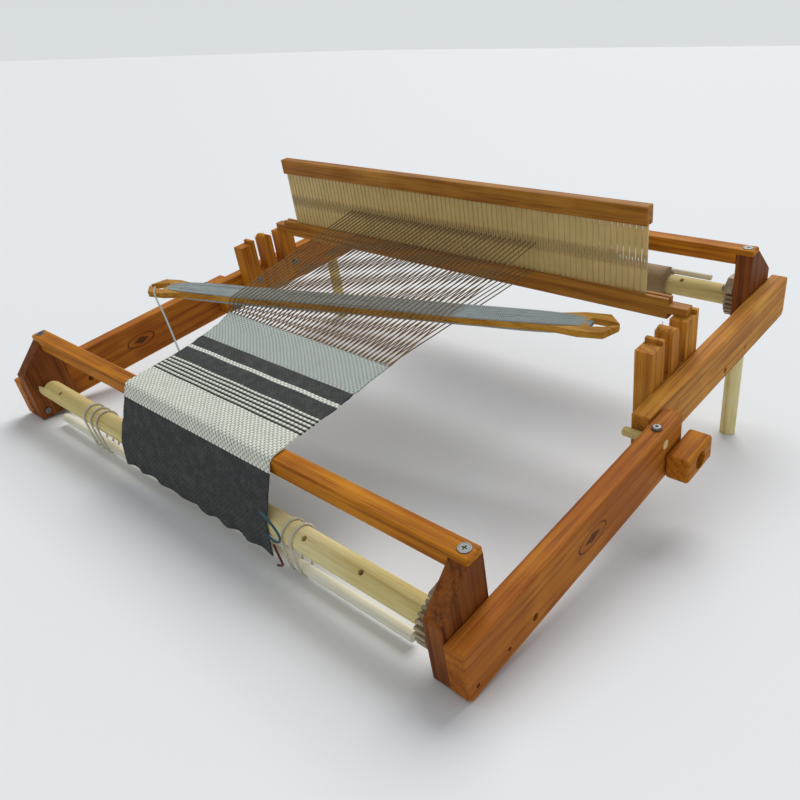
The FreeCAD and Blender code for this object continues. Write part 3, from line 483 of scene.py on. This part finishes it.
def tubes(paths, radius, sides=6):
    """Round yarns: paths has the shape (yarns, steps, 3), and each path carries rings square to it.
    A point is path + radius * (cos a * flat + sin a * up), and faces close both ends."""
    paths = np.asarray(paths, float)
    count, steps, _ = paths.shape
    way = np.gradient(paths, axis=1)
    way /= np.linalg.norm(way, axis=-1, keepdims=True)
    flat = np.cross(way, np.array([0.31, 0.24, 0.92]))
    flat /= np.linalg.norm(flat, axis=-1, keepdims=True)
    up = np.cross(flat, way)
    turn = np.linspace(0, 2 * np.pi, sides, endpoint=False)
    radius = np.broadcast_to(radius, (count, steps))[..., None, None]
    ring = np.cos(turn)[:, None] * flat[:, :, None, :] + np.sin(turn)[:, None] * up[:, :, None, :]
    points = (paths[:, :, None, :] + radius * ring).reshape(-1, 3)
    yarn, step, side = np.meshgrid(np.arange(count), np.arange(steps - 1), np.arange(sides), indexing="ij")

    def index(step, side):
        return (yarn * steps + step) * sides + side % sides

    faces = np.stack(
        [index(step, side), index(step, side + 1), index(step + 1, side + 1), index(step + 1, side)], -1)
    faces = faces.reshape(-1, 4)
    caps = []
    for at, flip in ((0, -1), (steps - 1, 1)):
        first = (np.arange(count) * steps + at)[:, None] * sides
        half = sides // 2
        order = np.arange(sides)[::flip]
        for k in range(1, half):
            corners = [order[0], order[2 * k - 1], order[2 * k], order[(2 * k + 1) % sides]]
            caps.append(first + np.stack(corners))
    return points, np.concatenate([faces, *caps])


SHUTTLE_LONG = 0.557
MOUTH_LONG = 0.024
STRAND_THICK, STRAND_PITCH, STRANDS = 0.0021, 0.00205, 12
LAYER_LIFTS = (0.0041, -0.0041, 0.0044, -0.0044)
throw = np.array(joints["shuttle_throw"]["axis"])
square = np.cross(throw, on_loom(0, 1, 0) - on_loom(0, 0, 0))
square /= np.linalg.norm(square)
if square[2] < 0:
    square = -square
across = np.cross(square, throw)
low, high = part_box("stick_shuttle")
shuttle_middle = (np.array(low) + np.array(high)) / 2
strands = []
for lift in LAYER_LIFTS:
    for k in range(STRANDS):
        wide = (k - (STRANDS - 1) / 2) * STRAND_PITCH + dice.normal(0, 0.0004)
        reach = SHUTTLE_LONG / 2 - MOUTH_LONG - dice.uniform(0, 0.004)
        s = np.linspace(-reach, reach, 56)
        draw = 1 - np.exp(-(reach - np.abs(s)) / 0.018)
        bow = np.interp(s, np.linspace(-reach, reach, 9), dice.normal(0, 0.0007, 9))
        w = wide * (0.38 + 0.62 * draw) + bow * draw
        rise = lift * (0.25 + 0.75 * draw ** 0.5)
        strand = shuttle_middle + s[:, None] * throw + w[:, None] * across + rise[:, None] * square
        strands.append(strand)
points, faces = tubes(strands, STRAND_THICK / 2)
wound = make_mesh("wound_weft", points, faces, weft_wool)
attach(wound, "shuttle")
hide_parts("shuttle_yarn")


# ---------------------------------------------------------------------------
# The warp
# Eighty-seven brown wool ends. Every other one goes through an eye and is held up, the rest
# go through the slots and lie low. Behind the heddle all go over the beam and onto the roller.
DENT = 0.00635
EYE_ENDS = np.arange(-22, 22) * DENT
SLOT_ENDS = (np.arange(-22, 21) + 0.5) * DENT
FELL = (0.1816, 0.102)
FELL_LEFT, FELL_RIGHT = -0.126, 0.119
bundle_low, bundle_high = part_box("warp_bundle")
roller_at = from_loom(joints["warp_roller_turn"]["pos_m"])
BUNDLE_R = float(bundle_high[2] - bundle_low[2]) / 2
WARP_R = 0.00068
SHUTTLE_AT, SHUTTLE_SLOPE = (-0.2637, 0.1686), math.tan(math.radians(16.1))
SHUTTLE_HALF, SHUTTLE_TOP = 0.0185, 0.1156
HEDDLE_ALONG, BEHIND_HEDDLE, BEYOND_BEAM = 0.4012, 0.408, 0.552
EYE_UP, SLOT_UP = 0.136, 0.1053
BEAM_TOP = (0.541, 0.0985)
ROLLER_LEFT, ROLLER_WIDE, SETTLE_LONG = -0.135, 0.262, 0.14
WRAP_FROM, WRAP_TO = 62, -60
WANDER = 0.00025


def rope(along, knots):
    """A taut line pushed up by what it passes over: the highest of all straight lines
    between two of the knots, taken at each place along."""
    high = np.full_like(along, -1.0)
    for i, (a, p) in enumerate(knots):
        for b, q in knots[i + 1:]:
            share = (along - a) / (b - a)
            line = p + (q - p) * share
            high = np.maximum(high, np.where((share >= 0) & (share <= 1), line, -1.0))
    return high


warp_wool = wool("warp_wool", (0.080, 0.044, 0.014), (0.34, 0.200, 0.075), 3800.0)
ends = []
for held_up, places in ((True, EYE_ENDS), (False, SLOT_ENDS)):
    for x in places:
        share = (x - EYE_ENDS[0]) / (EYE_ENDS[-1] - EYE_ENDS[0])
        start = FELL_LEFT + (FELL_RIGHT - FELL_LEFT) * share
        shuttle = SHUTTLE_AT[1] + (start * 0.7 + x * 0.3 - SHUTTLE_AT[0]) * SHUTTLE_SLOPE
        roller_x = ROLLER_LEFT + ROLLER_WIDE * share
        along = np.concatenate([
            np.linspace(FELL[0] - 0.001, HEDDLE_ALONG, 60), np.linspace(BEHIND_HEDDLE, BEYOND_BEAM, 14)])
        eye = EYE_UP if held_up else SLOT_UP
        knots = [(along[0], FELL[1]), (HEDDLE_ALONG, eye)]
        if held_up:
            knots[1:1] = [(shuttle - SHUTTLE_HALF, SHUTTLE_TOP), (shuttle + SHUTTLE_HALF, SHUTTLE_TOP)]
        up = rope(along, knots)
        back = along > HEDDLE_ALONG
        slope = (BEAM_TOP[1] - eye) / (BEAM_TOP[0] - HEDDLE_ALONG)
        up[back] = np.maximum(eye + (along[back] - HEDDLE_ALONG) * slope, BEAM_TOP[1])
        cross = np.clip((along - along[0]) / (HEDDLE_ALONG - along[0]), 0, 1)
        stray = np.interp(along, np.linspace(along[0], along[-1], 12), dice.normal(0, WANDER, 12))
        across_x = start + (x - start) * cross + stray * (cross > 0) * (cross < 0.97)
        settle = np.clip((along - HEDDLE_ALONG) / SETTLE_LONG, 0, 1) * (roller_x - x)
        line = on_loom(across_x + settle, along, up)
        angle = np.radians(np.linspace(WRAP_FROM, WRAP_TO, 12))
        wrap = BUNDLE_R + WARP_R
        wrapped = on_loom(roller_x, roller_at[0] + wrap * np.cos(angle), roller_at[1] + wrap * np.sin(angle))
        ends.append(np.concatenate([line, wrapped]))
points, faces = tubes(ends, WARP_R, 5)
warp = make_mesh("warp_ends", points, faces, warp_wool)
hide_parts("warp_upper_layer", "warp_lower_layer", "warp_back_layer")
on_loom(0, FELL[0], FELL[1])
on_loom(0, HEDDLE_ALONG - 0.004, FELL[1])
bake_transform(warp)


# ---------------------------------------------------------------------------
# The warp on its roller
# Yarn wound side by side in uneven ridges, over a roll of kraft paper that shows beyond it.
def turned(name, x, radius, material, around=64):
    """A round body: a profile of radii along X is carried round the roller's axis.
    The radius may differ with the angle, as radius has the shape (places along, angles)."""
    angle = np.linspace(0, 2 * np.pi, around, endpoint=False)
    radius = np.broadcast_to(radius, (len(x), around))
    grid = on_loom(x[:, None], roller_at[0] + radius * np.cos(angle), roller_at[1] + radius * np.sin(angle))
    along, turn = np.meshgrid(np.arange(len(x) - 1), np.arange(around), indexing="ij")
    nxt = (turn + 1) % around
    faces = np.stack(
        [along * around + turn, (along + 1) * around + turn, (along + 1) * around + nxt, along * around + nxt], -1)
    return make_mesh(name, grid.reshape(-1, 3), faces.reshape(-1, 4)[:, ::-1], material)


RIDGES, RIDGE_HIGH = 84, 0.0012
END_RADII = [0.0135, 0.019, BUNDLE_R - 0.003]
x = np.linspace(bundle_low[0], bundle_high[0], RIDGES * 6 + 1)
ridge = np.abs(np.sin(np.pi * (x - x[0]) / (x[-1] - x[0]) * RIDGES)) * RIDGE_HIGH
swell = np.interp(x, np.linspace(x[0], x[-1], 22), dice.normal(0, 0.0004, 22))
profile = BUNDLE_R - 0.0013 + ridge + swell
profile[:3] = END_RADII
profile[-3:] = END_RADII[::-1]
bundle = turned("wound_warp", x, profile[:, None], warp_wool)
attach(bundle, "warp_roller")
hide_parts("warp_bundle")

kraft = Finish("kraft_paper", Roughness=0.8)
where = kraft.place()
pulp = kraft.noise(where, 420.0, 4.0)
crease = kraft.noise(kraft.place(scale=(0.25, 1, 1)), 60.0, 2.0)
kraft.feed(Base_Color=kraft.mix(pulp * 0.6 + crease * 0.4, (0.20, 0.12, 0.055), (0.46, 0.32, 0.17)))
kraft.bump(pulp * 0.4 + crease, 0.0006)
PAPER_TURNS, PAPER_INNER, PAPER_OUTER = 4.0, 0.0125, 0.0208
PAPER_ACROSS, PAPER_ROUND = 40, 220
paper_low, paper_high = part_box("warp_paper")
x = np.linspace(paper_low[0], paper_high[0], PAPER_ACROSS)
turn = np.linspace(0, 2 * np.pi * PAPER_TURNS, PAPER_ROUND)
radius = PAPER_INNER + (PAPER_OUTER - PAPER_INNER) * turn / turn[-1] + 0.0002 * np.sin(turn * 3.3)
grid = on_loom(
    x[:, None] + 0.002 * np.sin(turn * 0.9) * np.sign(x[:, None]),
    roller_at[0] + radius * np.cos(turn), roller_at[1] + radius * np.sin(turn))
along, step = np.meshgrid(np.arange(PAPER_ACROSS - 1), np.arange(PAPER_ROUND - 1), indexing="ij")
first = along * PAPER_ROUND + step
faces = np.stack([first, first + PAPER_ROUND, first + PAPER_ROUND + 1, first + 1], -1)
paper = make_mesh("kraft_roll", grid.reshape(-1, 3), faces.reshape(-1, 4)[:, ::-1], kraft.material)
thick = paper.modifiers.new("thickness", "SOLIDIFY")
thick.thickness = 0.00035
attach(paper, "warp_roller")
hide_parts("warp_paper")


# ---------------------------------------------------------------------------
# Cotton cords
# Cream cotton, tied round the rod and the roller.
cotton = wool("cotton", (0.42, 0.38, 0.28), (0.80, 0.76, 0.64), 3000.0)
paint(cotton, "tie_cord_left", "tie_cord_right")


# ---------------------------------------------------------------------------
# The woven cloth
# Plain weave, eighty-seven ends wide. It narrows from the fell, lies over the front beam
# and hangs before the roller. Stripes of grey-blue, charcoal, black and white, and cream.
ENDS = 87
PICK = 0.0024
CLOTH_LEFT, DRAW_IN, DRAW_LONG = -0.106, 0.020, 0.030
HANGS_FROM, FLARE = 0.09, 0.005
SMOOTH = 5
WEAVE_HIGH, WAVE_HIGH, PUCKER_HIGH, SCALLOP_DEEP = 0.00046, 0.0004, 0.0013, 0.0022
PUCKER_LONG, SCALLOP_LONG = 0.035, 0.008
# The cloth's middle line: the way along the front rails and the height, in millimetres.
LINE = np.array([
    (181.6, 102.0), (150, 100.6), (100, 99.2), (60, 98.5), (50, 98.3), (40, 98.2), (36.6, 97.9), (34.4, 96.9),
    (33.2, 94.6), (30.6, 88), (22.4, 70), (14.2, 52.5), (10.4, 44), (9.8, 37), (9.6, 30), (9.0, 20), (8.3, 12.5)
]) / 1000
steps = np.hypot(*np.diff(LINE, axis=0).T)
whole = np.concatenate([[0], np.cumsum(steps)])
CLOTH_LONG = float(whole[-1])
picks = int(CLOTH_LONG / PICK)
rows, columns = picks * 2 + 1, ENDS * 2 + 1
s = np.linspace(0, CLOTH_LONG, rows)
along, up = np.interp(s, whole, LINE[:, 0]), np.interp(s, whole, LINE[:, 1])
soft = np.ones(SMOOTH) / SMOOTH
for _ in range(2):
    along[4:-4] = np.convolve(along, soft, "same")[4:-4]
    up[4:-4] = np.convolve(up, soft, "same")[4:-4]
way = np.stack([np.gradient(along), np.gradient(up)])
way /= np.hypot(*way)
out = np.stack([way[1], -way[0]]) * -1
out = np.where(out[1] + out[0] * -0.3 > 0, out, -out)
narrow = DRAW_IN * np.exp(-s / DRAW_LONG)
flare = np.interp(s, [0, CLOTH_LONG - HANGS_FROM, CLOTH_LONG], [0, 0, FLARE])
left = CLOTH_LEFT - narrow - flare + np.interp(s, np.linspace(0, CLOTH_LONG, 40), dice.normal(0, 0.0006, 40))
right = np.interp(s, [0, 0.08, CLOTH_LONG - HANGS_FROM, CLOTH_LONG], [FELL_RIGHT, 0.1215, 0.1225, 0.1275])
right = right + np.interp(s, np.linspace(0, CLOTH_LONG, 40), dice.normal(0, 0.0005, 40))
share = np.linspace(0, 1, columns)
x = left[:, None] + (right - left)[:, None] * share
row, column = np.meshgrid(np.arange(rows), np.arange(columns), indexing="ij")
checker = np.where((row // 2 + column // 2) % 2 == 0, 1.0, -1.0)
weave = np.where((row % 2 == 1) & (column % 2 == 1), checker, 0.0)
wave = WAVE_HIGH * np.sin(share * 21 + 1)[None, :] * np.sin(s * 60)[:, None]
relief = WEAVE_HIGH * weave + wave * (s > 0.01)[:, None]
hem = np.clip((s - CLOTH_LONG + PUCKER_LONG) / PUCKER_LONG, 0, 1)
pucker = PUCKER_HIGH * np.sin(share * 43 + 2)[None, :] * hem[:, None]
relief = relief + pucker + dice.normal(0, 0.00006, relief.shape)
edge = np.clip((s - CLOTH_LONG + SCALLOP_LONG) / SCALLOP_LONG, 0, 1)
scallop = SCALLOP_DEEP * np.abs(np.sin(share * 26))[None, :] * edge[:, None]
grid = on_loom(x, along[:, None] + out[0][:, None] * relief, up[:, None] + out[1][:, None] * relief + scallop)
first = row[:-1, :-1] * columns + column[:-1, :-1]
faces = np.stack([first, first + 1, first + columns + 1, first + columns], -1).reshape(-1, 4)

wool_cloth = Finish("woven_wool", Roughness=0.94, Sheen_Weight=0.06, Sheen_Roughness=0.6)
chart = wool_cloth.node("ShaderNodeUVMap", {"uv_map": "yarns"}, {})
end_number = wool_cloth.axis(chart, "X")
pick_number = wool_cloth.axis(chart, "Y")
pick = pick_number.join("FLOOR")
over = ((end_number.join("FLOOR") + pick) % 2.0).above(0.5)
place = wool_cloth.place()
fuzz = wool_cloth.noise(place, 1100.0, 3.0)
blotch = wool_cloth.noise(place, 120.0, 2.0)
# Picks are counted from the fell, and each number is the first pick of its stripe. Its half
# less keeps the edge between two picks.
DARK_FROM, LINE_FROM, LINE_TO, FINE_FROM, CREAM_FROM, HEM_FROM = 20, 27, 29, 37, 47, 66
GREY_BLUE, CHARCOAL = (0.54, 0.60, 0.55), (0.030, 0.036, 0.037)
CREAM, BLACK = (0.88, 0.90, 0.78), (0.014, 0.016, 0.018)
colour = wool_cloth.mix(pick.above(DARK_FROM - 0.5), GREY_BLUE, CHARCOAL)
colour = wool_cloth.mix(pick.above(LINE_FROM - 0.5) * pick.below(LINE_TO - 0.5), colour, CREAM)
fine = wool_cloth.mix((pick % 2.0).above(0.5), BLACK, CREAM)
colour = wool_cloth.mix(pick.above(FINE_FROM - 0.5), colour, fine)
colour = wool_cloth.mix(pick.above(CREAM_FROM - 0.5), colour, CREAM)
colour = wool_cloth.mix(pick.above(HEM_FROM - 0.5), colour, CHARCOAL)
dot = 1.0 - ((end_number % 1.0) - 0.5).size().step(0.20, 0.40)
# Painted shade: the gaps between picks are darkened towards near black.
pick_gap_shade = ((pick_number % 1.0) - 0.5).size().step(0.30, 0.52)
colour = wool_cloth.mix(over * dot * 0.62, colour, (0.060, 0.042, 0.024))
colour = wool_cloth.mix(pick_gap_shade * 0.22, colour, (0.020, 0.018, 0.015))
colour = wool_cloth.mix((fuzz * 0.6 + blotch * 0.4).step(0.40, 0.75) * 0.12, colour, (0.02, 0.019, 0.018))
colour = wool_cloth.mix(blotch.step(0.4, 0.7) * 0.07, colour, (0.40, 0.39, 0.36))
wool_cloth.feed(Base_Color=colour)
ribs = (end_number * math.pi).sine().size() * (pick_number * math.pi).sine().size()
wool_cloth.bump(ribs * 0.7 + fuzz * 0.5, 0.0008)

cloth = make_mesh("wool_cloth", grid.reshape(-1, 3), faces, wool_cloth.material)
uv = cloth.data.uv_layers.new(name="yarns")
chart_points = np.stack([column.ravel() / 2, row.ravel() / 2], -1)
uv.data.foreach_set("uv", chart_points[faces.ravel()].astype(np.float32).ravel())
thick = cloth.modifiers.new("thickness", "SOLIDIFY")
thick.thickness = 0.0009
thick.offset = 0.0
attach(cloth, "front_frame")
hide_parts("woven_cloth")


# ---------------------------------------------------------------------------
# The studio
# A plain pale floor under the loom, a broad soft light from behind and above, and a pale sky.
# Colours are shown as they are, with no film curve.
def studio_floor():
    """A flat square of floor, sixty metres across."""
    corner = 30.0
    points = np.array([(-corner, -corner, 0), (corner, -corner, 0), (corner, corner, 0), (-corner, corner, 0)])
    finish = Finish("floor_paint", Roughness=0.75)
    finish.shader.inputs["Base Color"].default_value = (0.79, 0.80, 0.81, 1)
    return make_mesh("floor", points, np.array([[0, 1, 2, 3]]), finish.material, False)


studio_floor()
light = bpy.data.lights.new("window", "SUN")
light.angle = 0.7
light.energy = 2.0
lamp = bpy.data.objects.new("window", light)
lamp.rotation_euler = [math.radians(part) for part in (-34, -16, 0)]
bpy.context.scene.collection.objects.link(lamp)
world = bpy.data.worlds.new("sky")
world.use_nodes = True
sky = world.node_tree.nodes
sky["Background"].inputs["Color"].default_value = (0.87, 0.91, 0.94, 1)
way_out = sky.new("ShaderNodeTexCoord")
height = sky.new("ShaderNodeSeparateXYZ")
glow = sky.new("ShaderNodeMapRange")
for name, value in (("From Min", 0.03), ("From Max", 0.35), ("To Min", 0.80), ("To Max", 0.52)):
    glow.inputs[name].default_value = value
world.node_tree.links.new(way_out.outputs["Generated"], height.inputs["Vector"])
world.node_tree.links.new(height.outputs["Z"], glow.inputs["Value"])
world.node_tree.links.new(glow.outputs["Result"], sky["Background"].inputs["Strength"])
bpy.context.scene.world = world
bpy.context.scene.view_settings.view_transform = "Standard"
